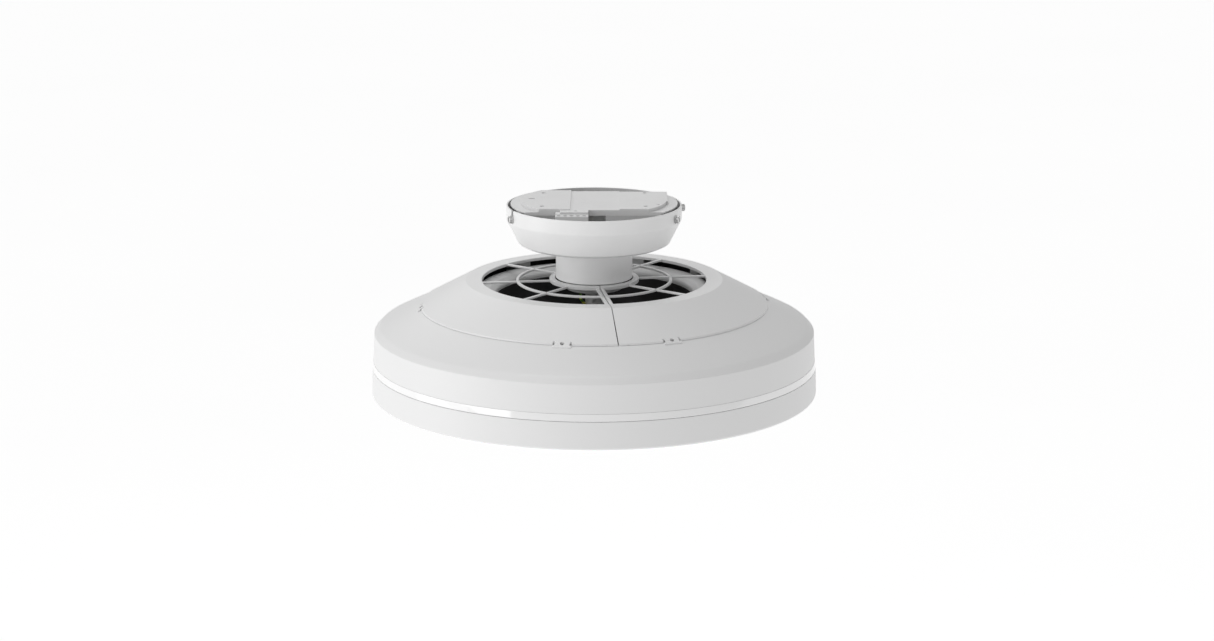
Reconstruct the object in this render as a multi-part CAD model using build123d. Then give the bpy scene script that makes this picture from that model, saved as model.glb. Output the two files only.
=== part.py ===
from build123d import *
import math
import os

# An enclosed ceiling fan with a ring light, in millimetres. The origin is in the middle of the
# bracket's ceiling face, +Z is up, the object hangs below, and its front is towards -Y.

# Driving dimensions
body_radius = 250.0             # the light skirt, the widest part
cover_turn = 7.8                # how far the fan body is turned on its stem, front towards +X
clear = 0.3                     # gap between pieces that only lie beside each other
fit = 0.1                       # gap between a pin, screw or tube and its hole

sheet = 1.5                     # bracket steel
bracket_half_depth = 54.0
bracket_radius = 93.0
bracket_base_z = -3.7           # upper face of the bracket's base plate
pad_radius = 81.0               # the raised pads end on this circle
square_pad_x, square_pad_y = 82.0, 45.0     # the corner that sticks out of it, on the right
flange_low_z = -7.5
bracket_dip = 1.2               # the middle of the bracket lies this far below its pads
ceiling_hole_x, ceiling_hole_y, ceiling_hole_radius = 57.0, 38.0, 2.5

canopy_radius, canopy_rim_z, canopy_floor_z = 97.7, -5.0, -50.5
canopy_hole_radius = 43.3
canopy_wall = 1.8
canopy_screw_z = -15.0
slot_screw_angles = (-67.0, 106.0)      # from the front, towards +X
lock_screw_angles = (67.0, -113.0)

stem_radius, stem_bore, stem_low_z = 6.5, 4.8, -118.6
neck_radius, neck_high_z, neck_low_z = 42.8, -36.0, -88.2
end_cap_radius, end_cap_low_z = 31.7, -101.0

grille_z = -90.0                # upper face of the intake grille's flat rim
grille_opening, grille_rim = 125.6, 143.9
cover_radius, cover_edge_z = 195.1, -118.6
cover_wall = 2.5                # measured upright
cover_lip = 1.0
spoke_width, seam_spoke_width, seam_gap = 3.4, 9.0, 1.0
spoke_count = 8
collar_inner, collar_outer = 43.6, 50.1
mid_ring_radius, mid_ring_width = 85.7, 3.4
tongue_angles = (17.6, 91.0, 162.4)     # each side of the seam
tongue_width, tongue_reach = 20.0, 198.6

shell_wall = 2.3
shell_low_z, strip_low_z, skirt_low_z = -179.1, -186.9, -218.4
duct_radius, duct_wall = 110.0, 2.0
shroud_radius = 158.0
frame_plate_z = -184.5          # upper face of the main frame's plate
frame_plate_low_z = -187.0
frame_wall_radius = 112.3
post_width = 16.0
post_angles = [37.5 * step for step in range(-4, 5)]
frame_radius = 244.2
pan_plate_z = -199.4
pan_low_z = -201.0

rotor_radius, rotor_high_z, rotor_low_z = 42.0, -135.0, -174.0
shaft_radius = 6.0
stator_radius = 36.0
blade_count, blade_tip, blade_mid_z = 7, 103.5, -153.0
guard_high_z, guard_low_z = -201.3, -204.3
hub_radius = 12.0
led_rings = ((165.0, 36), (190.0, 40), (215.0, 44))
fixing_count = 8
fixing_radius = 240.0


def outline_face(points):
    """Face in the XZ plane from (r, z) points; ((r, z), (r, z)) is an arc through the first."""
    edges = []
    here = points[0]
    for step in points[1:] + points[:1]:
        if isinstance(step[0], tuple):
            through, there = step
            edges.append(Edge.make_three_point_arc(*[(r, 0, z) for r, z in (here, through, there)]))
        else:
            there = step
            edges.append(Edge.make_line((here[0], 0, here[1]), (there[0], 0, there[1])))
        here = there
    return Face(Wire(edges))


def turned(points, angle=360.0, middle=0.0):
    """Solid of revolution about Z; a part turn is centred on an angle from the front."""
    solid = revolve(outline_face(points), Axis.Z, angle)
    return solid.rotate(Axis.Z, middle - 90.0 - angle / 2.0)


def rod(radius, low_z, high_z, x=0.0, y=0.0):
    upright = Cylinder(radius, high_z - low_z, align=(Align.CENTER, Align.CENTER, Align.MIN))
    return Pos(x, y, low_z) * upright


def tube(outer, inner, low_z, high_z):
    return rod(outer, low_z, high_z) - rod(inner, low_z - 1.0, high_z + 1.0)


def block(low, high):
    size = [b - a for a, b in zip(low, high)]
    return Pos(*low) * Box(*size, align=(Align.MIN, Align.MIN, Align.MIN))


def from_front(shape, angle):
    """Turns a shape made on the front (-Y) side by an angle towards +X."""
    return shape.rotate(Axis.Z, angle)


def on_body(shape):
    """Turns a piece of the fan body as the whole body is turned on its stem."""
    return shape.rotate(Axis.Z, cover_turn)


def ring_of(shape, angles):
    return [from_front(shape, angle) for angle in angles]


def even_angles(count, first=0.0):
    return [first + 360.0 * step / count for step in range(count)]


def joined(shapes):
    total = shapes[0]
    for shape in shapes[1:]:
        total = total + shape
    return total


def group(shapes):
    """Separate solids kept as one node."""
    return Compound(children=[Compound([solid]) for shape in shapes for solid in shape.solids()])


def radial_rod(radius, near, far, z):
    """A rod that points out of the front side, from one distance off the axis to another."""
    return Pos(0, -near, z) * Rot(90, 0, 0) * Cylinder(
        radius, far - near, align=(Align.CENTER, Align.CENTER, Align.MIN))


# ---- ceiling bracket and its fittings

def pad_tops(inset, top, thickness):
    """The three raised areas of the bracket: arc-ended left, lower middle and square right."""
    depth = bracket_half_depth - inset
    disc = rod(pad_radius - inset, top - thickness, top)
    left = disc & block((-100, -depth, top - thickness), (-26, depth, top))
    dip = top - bracket_dip
    middle = block((-26 - inset, -depth, dip - thickness), (28 + inset, depth, dip))
    corner = block((28, -10, top - thickness), (square_pad_x, square_pad_y, top))
    right = (disc + corner) & block((28, -depth, top - thickness),
                                    (square_pad_x - inset, square_pad_y - inset, top))
    return left + middle + right


def screw_tab(angle, hole):
    tab = block((-7, -90.0, -22.0), (7, -88.5, bracket_base_z))
    if hole:
        tab = tab - radial_rod(2.1, 80.0, 95.0, canopy_screw_z)
    return from_front(tab, angle)


def mounting_bracket():
    inner = bracket_base_z - sheet
    limits = block((-100, -bracket_half_depth, inner), (100, bracket_half_depth, 1.0))
    base = rod(bracket_radius, inner, bracket_base_z) & limits
    walls = pad_tops(0.0, 0.0, -inner - bracket_dip) & rod(bracket_radius, inner, 0.0)
    hollow = pad_tops(sheet, -sheet, -inner)
    plate = (base + walls) - hollow + pad_tops(0.0, 0.0, sheet)
    flange = block((-76, -bracket_half_depth, flange_low_z),
                   (74, -bracket_half_depth + sheet, inner))
    ear_top = -bracket_dip
    ear = block((-37, -66, ear_top - sheet), (-6, -bracket_half_depth + sheet, ear_top))
    ear = ear - rod(2.0, -10, 0, -20, -58.5)
    plate = plate + flange + ear
    plate = plate + joined([screw_tab(angle, True) for angle in slot_screw_angles]
                           + [screw_tab(angle, False) for angle in lock_screw_angles])
    for side_x in (-ceiling_hole_x, ceiling_hole_x):
        for side_y in (-ceiling_hole_y, ceiling_hole_y):
            plate = plate - rod(ceiling_hole_radius, -10, 1, side_x, side_y)
    plate = plate - rod(1.8, -10, 1, 71, -30)
    plate = plate - rod(1.8, -10, 1, -71.5, 5) - rod(1.8, -10, 1, -67.5, 5)
    plate = plate - block((-71.5, 3.2, -10), (-67.5, 6.8, 1))
    for rivet_x, rivet_y in rivet_places:
        plate = plate - rod(2.1, -10, 1, rivet_x, rivet_y)
    return plate


rivet_places = [(18 * math.cos(math.radians(a)), 18 * math.sin(math.radians(a)))
                for a in (45, 135, 225, 315)]


def stem_socket():
    top = -bracket_dip - sheet - fit
    socket = rod(25, top - 2.4, top) + rod(13, -26, top)
    socket = socket - rod(stem_radius + fit, -30, -4.6)
    socket = socket - Pos(0, 0, -16) * Rot(0, 90, 0) * Cylinder(2.1, 60)
    for rivet_x, rivet_y in rivet_places:
        socket = socket - rod(2.1, -10, 1, rivet_x, rivet_y)
    return socket


def socket_rivets():
    shank_top = -bracket_dip
    flange_low = -bracket_dip - sheet - fit - 2.4
    rivets = []
    for x, y in rivet_places:
        rivets.append(rod(2.0, flange_low, shank_top, x, y)
                      + rod(3.6, flange_low - 1.4, flange_low, x, y))
    return group(rivets)


def hanger_stem():
    stem = tube(stem_radius, stem_bore, stem_low_z, -5.0)
    stem = stem - Pos(0, 0, -16) * Rot(0, 90, 0) * Cylinder(2.1, 40)
    return stem - radial_rod(3.4, 3.0, 9.0, -70)


def stem_cross_pin():
    return Pos(0, 0, -16) * Rot(0, 90, 0) * Cylinder(2.0, 32)


def neck_locking_collar():
    return tube(13.0, stem_radius + fit, -35.8, -28.0) - radial_rod(1.8, 5, 15, -32)


def terminal_block():
    body = block((-42, -66, -19), (-6, -56, -3.0)) + block((-42, -76, -19), (-6, -66, -4))
    for x in terminal_places:
        body = body - Pos(x, -76, lead_z) * Rot(90, 0, 0) * Cylinder(2.2, 12)
        body = body - rod(2.4, -7, -3, x, -71)
    return body


terminal_places = [-38.0 + 7.0 * step for step in range(5)]


def terminal_screws():
    screws = []
    for x in terminal_places:
        slot = block((x - 3, -71.4, -5.2), (x + 3, -70.6, -4))
        screws.append(rod(2.2, -6.9, -4.4, x, -71) - slot)
    return group(screws)


# ---- canopy and neck

def ceiling_canopy():
    wall = canopy_wall
    bowl = turned([(canopy_radius, canopy_rim_z), (canopy_radius, -21.0), (84.8, -47.0),
                   ((82.3, -49.3), (77.5, canopy_floor_z)), (canopy_hole_radius, canopy_floor_z),
                   (canopy_hole_radius, canopy_floor_z + wall), (77.3, canopy_floor_z + wall),
                   ((81.1, -47.9), (83.2, -46.2)), (canopy_radius - wall, -20.6),
                   (canopy_radius - wall, canopy_rim_z)])
    for angle in slot_screw_angles:
        slot = block((-2.7, -canopy_radius - 1, canopy_screw_z), (2.7, -90, 0))
        bowl = bowl - from_front(slot + radial_rod(2.7, 90, 99, canopy_screw_z), angle)
    for angle in lock_screw_angles:
        bowl = bowl - from_front(radial_rod(2.4, 90, 99, canopy_screw_z), angle)
    return bowl


def canopy_screw(tip):
    """A thumb screw with its washer, pointing at the stem from the front."""
    washer_face = canopy_radius + clear
    screw = radial_rod(2.0, tip, 104.0, canopy_screw_z)
    screw = screw + radial_rod(4.6, washer_face, 99.2, canopy_screw_z)
    head = radial_rod(4.0, 99.2, 105.6, canopy_screw_z)
    head = head - block((-0.5, -107, -20), (0.5, -104.6, -10))
    return screw + head


def canopy_slot_screws():
    return group(ring_of(canopy_screw(84.0), slot_screw_angles))


def canopy_lock_screws():
    return group(ring_of(canopy_screw(90.0 + clear), lock_screw_angles))


def neck_sleeve():
    inner = neck_radius - 1.8
    bore = stem_radius + fit
    sleeve = turned([(inner, neck_low_z), (neck_radius, neck_low_z), (neck_radius, neck_high_z),
                     (bore, neck_high_z), (bore, neck_high_z - 2), (inner, neck_high_z - 2)])
    return sleeve - rod(9.0, -40, -30, -18.5, -12)


def neck_end_cap():
    bore = stem_radius + fit
    cap = turned([(40.8, -80.0), (40.8, -82.5), (end_cap_radius, -82.5),
                  (end_cap_radius, end_cap_low_z), (bore, end_cap_low_z), (bore, -88.0),
                  (12.0, -88.0), (12.0, -99.0), (29.7, -99.0), (29.7, -80.0)])
    return cap - rod(3.0, -110, -90, earth_x, earth_y)


# ---- leads

earth_x, earth_y = -15.0, -9.0         # where the earth lead runs down beside the stem
lead_z = -14.6                          # height of the terminal block's wire entries


def lead(points, radii, radius):
    path = FilletPolyline(*points, radius=radii)
    start = Plane(origin=path @ 0, z_dir=path % 0)
    return sweep(start * Circle(radius), path=path)


def earth_wire():
    """Green and yellow lead from the terminal block to the lug on the stem coupling."""
    return lead([(-13, -55.6, lead_z), (-13, -32, lead_z), (earth_x, earth_y, -32),
                 (earth_x, earth_y, -112), (-9.9 - clear, -4.5, -119)], [9, 12, 5], 1.4)


def supply_leads():
    """Live and neutral leads from the terminal block into the stem through its side hole."""
    live = lead([(-34, -55.6, lead_z), (-34, -30, lead_z), (-22, -11, -32), (-22, -11, -54),
                 (-1.6, -20, -70), (-1.6, -4.5, -70)], [9, 9, 9, 5], 1.3)
    neutral = lead([(-27, -55.6, lead_z), (-27, -36, lead_z), (-18.5, -18, -32), (-18.5, -18, -56),
                    (1.6, -20, -70), (1.6, -4.5, -70)], [9, 9, 9, 5], 1.3)
    return group([live, neutral])


# ---- intake cover, in two halves

def spoke(width, angle):
    bar = block((-width / 2, -grille_opening - 1.0, grille_z - 2.7),
                (width / 2, -collar_outer + 1.0, grille_z - 0.3))
    return from_front(bar, angle)


def whole_cover():
    slope = (cover_edge_z + cover_lip - grille_z) / (cover_radius - grille_rim)
    under = cover_radius - (cover_wall - cover_lip) / -slope
    low = grille_z - cover_wall + 0.2
    cover = turned([(grille_opening, grille_z), (grille_rim, grille_z),
                    (cover_radius, cover_edge_z + cover_lip), (cover_radius, cover_edge_z),
                    (under, cover_edge_z), (grille_rim - 0.6, low), (grille_opening + 2, low),
                    (grille_opening + 2, low - 1.2), (grille_opening, low - 1.2)])
    cover = cover + tube(collar_outer, collar_inner, grille_z - 2.7, grille_z + 1.6)
    half = mid_ring_width / 2
    cover = cover + tube(mid_ring_radius + half, mid_ring_radius - half,
                         grille_z - 2.7, grille_z - 0.3)
    for number, angle in enumerate(even_angles(spoke_count)):
        on_seam = number % (spoke_count // 2) == 0
        cover = cover + spoke(seam_spoke_width if on_seam else spoke_width, angle)
    for angle in tongue_angles:
        for side in (-angle, angle):
            cover = add_tongue(cover, side, slope)
    return cover - locating_notches()


def add_tongue(cover, angle, slope):
    """A springy tongue over the shell's edge, freed by a slit at each end, with a round hole."""
    start, sink = 192.5, 0.2
    top_start = cover_edge_z + cover_lip + slope * (start - cover_radius) - sink
    top_end = cover_edge_z + cover_lip + slope * (tongue_reach - cover_radius) - sink
    profile = outline_face([(start, top_start), (tongue_reach, top_end),
                            (tongue_reach, top_end - 0.7), (cover_radius, cover_edge_z),
                            (start, cover_edge_z)])
    tongue = extrude(profile, tongue_width / 2, dir=(0, 1, 0), both=True).rotate(Axis.Z, -90)
    openings = rod(2.2, -125, -110, 0, -194.0)
    for side in (-1, 1):
        middle = side * (tongue_width / 2 + 0.8)
        openings = openings + block((middle - 0.8, -196.0, -125), (middle + 0.8, -189.6, -110))
    return cover + from_front(tongue, angle) - from_front(openings, angle)


def locating_notches():
    notches = []
    for offset in (-19.7, -11.7, 11.7, 19.7):
        notches.append(block((offset - 2.0, -cover_radius - 2, cover_edge_z - 1),
                             (offset + 2.0, -192.6, cover_edge_z + 0.7)))
    return joined(notches)


def cover_halves():
    cover = whole_cover()
    reach = cover_radius + 10
    left = cover & block((-reach, -reach, -140), (-seam_gap / 2, reach, -80))
    right = cover & block((seam_gap / 2, -reach, -140), (reach, reach, -80))
    return on_body(left), on_body(right)


# ---- housing

def housing_shell():
    edge_z = cover_edge_z - clear
    low = shell_low_z
    shell = turned([(187.0, edge_z), (cover_radius, edge_z), (230.5, -136.0),
                    ((239.3, -140.9), (246.8, -147.3)), (248.1, low), (236.0, low),
                    (236.0, low + 2.1), (245.7, low + 2.1), (244.6, -148.4),
                    ((237.9, -142.8), (229.5, -138.2)), (194.6, edge_z - shell_wall),
                    (189.0, edge_z - shell_wall), (189.0, -128.0), (187.0, -128.0)])
    for angle in tongue_angles:
        for side in (-angle, angle):
            shell = shell - from_front(rod(1.7, -124, -110, 0, -194.0), side)
    holes = ring_of(rod(2.1, low - 1, low + 3, 0, -fixing_radius), even_angles(fixing_count))
    return on_body(shell - joined(holes))


def trim_strip():
    top = shell_low_z - clear
    return turned([(244.6, top), (248.3, top), (249.6, strip_low_z), (244.6, strip_low_z)])


def light_skirt():
    top = strip_low_z - 0.4
    skirt = turned([(236.2, top), (249.4, top), (body_radius + 0.3, -215.4),
                    ((249.4, -217.5), (247.3, skirt_low_z)), (241.3, skirt_low_z),
                    (241.3, skirt_low_z + 2.2), (246.7, skirt_low_z + 2.2),
                    ((247.7, -215.8), (248.1, -214.8)), (247.2, top - 2.2), (236.2, top - 2.2)])
    holes = ring_of(rod(2.1, top - 3, top + 1, 0, -fixing_radius), skirt_screw_angles)
    return on_body(skirt - joined(holes))


skirt_screw_angles = even_angles(fixing_count, 180.0 / fixing_count)


def skirt_screws():
    under = strip_low_z - 0.4 - 2.2
    screw = rod(2.0, under, frame_plate_z, 0, -fixing_radius)
    screw = screw + rod(3.5, under - 1.8, under, 0, -fixing_radius)
    screw = screw - block((-0.5, -fixing_radius - 4, under - 2), (0.5, -fixing_radius + 4, under - 1))
    return group([on_body(one) for one in ring_of(screw, skirt_screw_angles)])


def shell_screws():
    screw = rod(2.0, -186.9, shell_low_z + 1.9, 0, -fixing_radius)
    screw = screw + rod(3.4, -186.9, -184.9, 0, -fixing_radius)
    return group([on_body(one) for one in ring_of(screw, even_angles(fixing_count))])


def main_frame():
    """Grey moulding that carries the duct, the electronics, the shell and the light."""
    wall = frame_wall_radius + 2.5
    frame = turned([(frame_wall_radius, frame_plate_low_z), (frame_radius, frame_plate_low_z),
                    (frame_radius, frame_plate_z), (wall, frame_plate_z), (wall, -113.0),
                    (frame_wall_radius, -113.0)])
    fixing_post = rod(4.4, frame_plate_low_z, shell_low_z - clear, 0, -fixing_radius)
    fixing_hole = rod(2.1, -190, -170, 0, -fixing_radius)
    fixing_hole = fixing_hole + rod(3.7, -190, -184.6, 0, -fixing_radius)
    posts = ring_of(fixing_post, even_angles(fixing_count))
    holes = ring_of(fixing_hole, even_angles(fixing_count))
    holes += ring_of(rod(2.1, -190, -170, 0, -fixing_radius), skirt_screw_angles)
    return on_body(frame + joined(posts) - joined(holes))


def frame_posts():
    """Wide posts that carry the bell mouth and back the cover, and a thin one behind each."""
    low = frame_plate_z
    side = Polyline((126.5, low), (126.5, -102.9), (131.5, -102.9), (131.5, -93.9),
                    (142.5, -93.9), (157.7, -101.4), (157.7, low), close=True)
    across = Plane((post_width / 2, 0, 0), x_dir=(0, -1, 0), z_dir=(-1, 0, 0))
    inner_post = extrude(across * make_face(side), post_width)
    inner_post = inner_post & rod(shroud_radius - clear, low, -90.0)
    outer_post = block((-2, -186.7, low), (2, -160.3, -121.7))
    return group([on_body(post) for post in ring_of(inner_post, post_angles)
                  + ring_of(outer_post, post_angles)])


def inner_shroud():
    return tube(shroud_radius + 2.0, shroud_radius, frame_plate_z + fit, -102.0)


def air_baffle():
    return tube(126.2, frame_wall_radius + 2.6, -129.5, -128.0)


def bell_mouth():
    return turned([(110.2, -110.5), (110.2, -109.5), ((116.4, -102.7), (127.0, -99.5)),
                   (129.0, -99.5), (129.0, -102.5), (127.3, -102.5), (127.3, -101.4),
                   ((117.8, -104.3), (112.2, -110.1)), (112.2, -110.5)])


def air_duct():
    return tube(duct_radius + duct_wall, duct_radius, -199.0, -110.8)


# ---- motor and impeller

def motor_shaft():
    shaft = rod(shaft_radius, -212.0, -130.0) + rod(stem_radius, -130.0, stem_low_z - 0.4)
    return shaft - rod(3.0, -214, -110)


def stem_coupling():
    coupling = tube(9.9, stem_radius + fit, -131.0, -108.0)
    return coupling - radial_rod(1.8, 4, 12, -114) - radial_rod(1.8, 4, 12, -124)


def shaft_nut():
    hexagon = extrude(RegularPolygon(10.0, 6), 6.2)
    return Pos(0, 0, -210.9) * hexagon - rod(shaft_radius + fit, -215, -200)


def stator_core():
    core = tube(15.0, shaft_radius + fit, -164.0, -146.0)
    tooth = block((-3, -stator_radius + 2, -164), (3, -14, -146))
    shoe = turned([(33, -164), (stator_radius, -164), (stator_radius, -146), (33, -146)], 30)
    return core + joined(ring_of(tooth + shoe, even_angles(9)))


def stator_windings():
    coil = block((-6.6, -31.6, -168), (6.6, -21.5, -142))
    coil = coil - block((-3.1, -35, -164.1), (3.1, -20, -145.9))
    return group(ring_of(coil, even_angles(9)))


def rotor_shell():
    inner = rotor_radius - 2.4
    plate = rotor_high_z - 2.4
    return turned([(13.1, rotor_high_z), (rotor_radius, rotor_high_z),
                   (rotor_radius, rotor_low_z), (inner, rotor_low_z), (inner, plate),
                   (16.5, plate), (16.5, -144.5), (13.1, -144.5)])


def rotor_end_plate():
    rim = rotor_radius - 2.5
    return turned([(13.1, -165.0), (16.5, -165.0), (16.5, -171.6), (rim, -171.6),
                   (rim, rotor_low_z), (13.1, rotor_low_z)])


def rotor_magnets():
    magnet = turned([(36.7, -165), (39.5, -165), (39.5, -145), (36.7, -145)], 26)
    return group(ring_of(magnet, even_angles(12)))


def bearing(high_z):
    """A sealed ball bearing: two races with a shield set a little below both faces."""
    low_z = high_z - 7
    ring = tube(13.0, shaft_radius + 0.05, low_z, high_z)
    return ring - tube(10.9, 8.1, high_z - 0.7, high_z + 1) - tube(10.9, 8.1, low_z - 1, low_z + 0.7)


def impeller_blade():
    """One blade, lofted through three thin six-sided sections that flatten towards the tip."""
    sections = []
    for distance, chord, pitch in ((44.5, 46, 34), (75, 56, 28), (blade_tip, 60, 24)):
        place = Plane(origin=(distance, 0, blade_mid_z), x_dir=(0, 1, 0), z_dir=(1, 0, 0))
        half, thick = chord / 2, 1.5
        section = Polygon((-half, 0), (-half / 2, thick), (half / 2, thick), (half, 0),
                          (half / 2, -thick), (-half / 2, -thick), align=None)
        sections.append((place * Rot(0, 0, pitch) * section).face())
    return loft(sections)


def impeller():
    top = rotor_high_z + 2.0
    hub = turned([(17.0, top), (45.6, top), (45.6, rotor_low_z), (rotor_radius + fit, rotor_low_z),
                  (rotor_radius + fit, top - 1.9), (17.0, top - 1.9)])
    blades = [impeller_blade().rotate(Axis.Z, angle) for angle in even_angles(blade_count)]
    return hub + joined(blades)


# ---- outlet and light

def outlet_ring():
    return turned([(117.0, -201.3), (148.0, -201.3), (148.0, -203.3), (120.6, -203.3),
                   (140.8, -222.2), (138.6, -223.0), (117.0, -202.8)])


def outlet_guard():
    """Stationary flat grille across the outlet, with a hole for its metal hub."""
    guard = tube(116.4, 108.6, guard_low_z, guard_high_z) + rod(46.0, guard_low_z, guard_high_z)
    for radius in (60, 76, 92):
        guard = guard + tube(radius + 1.2, radius - 1.2, guard_low_z, guard_high_z)
    bar = block((-1.5, -110, guard_low_z), (1.5, -44, guard_high_z))
    guard = guard + joined(ring_of(bar, even_angles(12)))
    guard = guard - rod(hub_radius + fit, -215, -180)
    return on_body(guard - joined(ring_of(rod(1.7, -215, -190, 0, -114.4), even_angles(6))))


def guard_hub():
    """Flanged metal hub in the middle of the guard, which the lower end of the shaft stands in."""
    flange_z = guard_high_z + fit
    hub = rod(hub_radius, guard_low_z, -186.0) + rod(20.0, flange_z, flange_z + 2.4)
    return hub - rod(shaft_radius + fit, -215, -180)


def guard_screws():
    screw = rod(1.6, guard_low_z, pan_plate_z - 0.2, 0, -114.4)
    screw = screw + rod(2.9, guard_low_z - 1.6, guard_low_z, 0, -114.0)
    return group([on_body(one) for one in ring_of(screw, even_angles(6))])


def centre_cap():
    rim = guard_low_z - fit
    return turned([(40.0, rim), ((36.8, -211.6), (28.0, -214.8)), (0.0, -216.4),
                   (0.0, -214.4), (27.6, -212.8), ((35.1, -210.0), (38.0, rim))])


def light_pan():
    """Sheet-steel channel under the main frame, which the light board is fixed to."""
    top = frame_plate_low_z - clear
    pan = turned([(112.6, top), (112.6, pan_low_z), (239.6, pan_low_z), (239.6, pan_plate_z),
                  (233.6, pan_plate_z), (233.6, top), (232.0, top), (232.0, pan_plate_z),
                  (114.2, pan_plate_z), (114.2, top)])
    return on_body(pan - joined(ring_of(rod(1.7, -215, -195, 0, -114.4), even_angles(6))))


def led_board():
    return tube(231.0, 150.0, pan_low_z - 2.0, pan_low_z - clear)


def led_chips():
    chips = []
    for radius, count in led_rings:
        chip = block((-1.75, -radius - 1.75, -203.9), (1.75, -radius + 1.75, -203.0))
        chips += ring_of(chip, even_angles(count))
    return group(chips)


def diffuser():
    """Opal lens: a hollow ring with a softly rounded outer side, nearly flat underneath."""
    return turned([(238.9, -206.0), (240.7, -206.0), (240.7, -218.2),
                   ((229.0, -225.6), (212.0, -231.2)), (172.0, -231.9),
                   ((152.0, -229.6), (141.6, -221.5)), (141.6, -211.0), (143.4, -211.0),
                   (143.4, -220.8), ((153.2, -227.7), (172.0, -229.9)), (211.4, -229.2),
                   ((227.9, -223.8), (238.9, -217.1))])


def diffuser_clips():
    clip = block((-6, -238.5, -212), (6, -237.4, pan_low_z))
    clip = clip + block((-6, -238.5, pan_low_z - 1.2), (6, -232.0, pan_low_z))
    return group([on_body(one) for one in ring_of(clip, even_angles(6, 30))])


# ---- electronics in the ring-shaped space of the housing

def placed_box(angle, width, depth, low_z, high_z, inset=0.0):
    """A box in the ring space, its middle on the case circle, at an angle from the front."""
    box = block((-width / 2 + inset, -case_circle - depth / 2 + inset, low_z + inset),
                (width / 2 - inset, -case_circle + depth / 2 - inset, high_z))
    return on_body(from_front(box, angle))


case_circle = 208.0
driver_angle, controller_angle = 150.0, -95.0
case_low_z = frame_plate_z + 0.1


def driver_case():
    case = placed_box(driver_angle, 112, 38, case_low_z, -164.0)
    return case - placed_box(driver_angle, 112, 38, case_low_z, -160.0, 1.6)


def driver_lid():
    return placed_box(driver_angle, 112, 38, -163.9, -162.4)


def driver_board():
    return placed_box(driver_angle, 106, 32, -180.0, -178.4)


def driver_parts():
    parts = []
    for x, y, radius in ((-40, 0, 7.0), (-22, -6, 5.0), (-22, 6, 5.0), (36, 0, 8.0)):
        can = rod(radius, -178.4, -166.0, x, y - case_circle)
        parts.append(on_body(from_front(can, driver_angle)))
    core = block((-10, -case_circle - 10, -178.4), (14, -case_circle + 10, -165.5))
    parts.append(on_body(from_front(core, driver_angle)))
    return group(parts)


def controller_case():
    case = placed_box(controller_angle, 84, 34, case_low_z, -168.0)
    return case - placed_box(controller_angle, 84, 34, case_low_z, -170.0, 1.6)


def receiver_board():
    return placed_box(controller_angle, 76, 28, -181.0, -179.4)


os.makedirs("parts", exist_ok=True)
cover_left, cover_right = cover_halves()
pieces = {
    "mounting_bracket": mounting_bracket(),
    "stem_socket": stem_socket(),
    "socket_rivets": socket_rivets(),
    "hanger_stem": hanger_stem(),
    "stem_cross_pin": stem_cross_pin(),
    "neck_locking_collar": neck_locking_collar(),
    "terminal_block": terminal_block(),
    "terminal_screws": terminal_screws(),
    "ceiling_canopy": ceiling_canopy(),
    "canopy_slot_screws": canopy_slot_screws(),
    "canopy_lock_screws": canopy_lock_screws(),
    "neck_sleeve": neck_sleeve(),
    "neck_end_cap": neck_end_cap(),
    "earth_wire": earth_wire(),
    "supply_leads": supply_leads(),
    "cover_left": cover_left,
    "cover_right": cover_right,
    "housing_shell": housing_shell(),
    "trim_strip": trim_strip(),
    "light_skirt": light_skirt(),
    "skirt_screws": skirt_screws(),
    "shell_screws": shell_screws(),
    "main_frame": main_frame(),
    "frame_posts": frame_posts(),
    "inner_shroud": inner_shroud(),
    "air_baffle": air_baffle(),
    "bell_mouth": bell_mouth(),
    "air_duct": air_duct(),
    "motor_shaft": motor_shaft(),
    "stem_coupling": stem_coupling(),
    "shaft_nut": shaft_nut(),
    "stator_core": stator_core(),
    "stator_windings": stator_windings(),
    "rotor_shell": rotor_shell(),
    "rotor_end_plate": rotor_end_plate(),
    "rotor_magnets": rotor_magnets(),
    "upper_bearing": bearing(-136.0),
    "lower_bearing": bearing(-166.5),
    "impeller": impeller(),
    "outlet_ring": outlet_ring(),
    "outlet_guard": outlet_guard(),
    "guard_hub": guard_hub(),
    "guard_screws": guard_screws(),
    "centre_cap": centre_cap(),
    "light_pan": light_pan(),
    "led_board": led_board(),
    "led_chips": led_chips(),
    "diffuser": diffuser(),
    "diffuser_clips": diffuser_clips(),
    "driver_case": driver_case(),
    "driver_lid": driver_lid(),
    "driver_board": driver_board(),
    "driver_parts": driver_parts(),
    "controller_case": controller_case(),
    "receiver_board": receiver_board(),
}
for node, shape in pieces.items():
    export_step(shape, f"parts/{node}.step")
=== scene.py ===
import math

import bmesh
import bpy
from mathutils import Matrix, Vector


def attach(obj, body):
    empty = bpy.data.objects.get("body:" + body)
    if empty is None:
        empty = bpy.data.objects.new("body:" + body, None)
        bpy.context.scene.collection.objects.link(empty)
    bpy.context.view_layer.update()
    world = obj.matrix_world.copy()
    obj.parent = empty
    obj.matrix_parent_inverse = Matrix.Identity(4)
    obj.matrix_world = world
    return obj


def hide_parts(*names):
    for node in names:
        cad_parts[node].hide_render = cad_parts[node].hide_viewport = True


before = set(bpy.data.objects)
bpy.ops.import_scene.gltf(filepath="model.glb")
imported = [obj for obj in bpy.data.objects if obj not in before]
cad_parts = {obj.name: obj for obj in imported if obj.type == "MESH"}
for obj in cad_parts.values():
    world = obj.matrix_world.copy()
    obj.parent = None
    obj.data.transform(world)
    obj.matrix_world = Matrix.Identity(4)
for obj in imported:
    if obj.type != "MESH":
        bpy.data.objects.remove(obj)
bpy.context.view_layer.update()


# ---- Studio
# A pale floor far below the fan, an even white room and four soft boxes: a key light on the left
# and weaker ones above, behind and low on the left. The camera looks slightly down on the fan.

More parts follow.
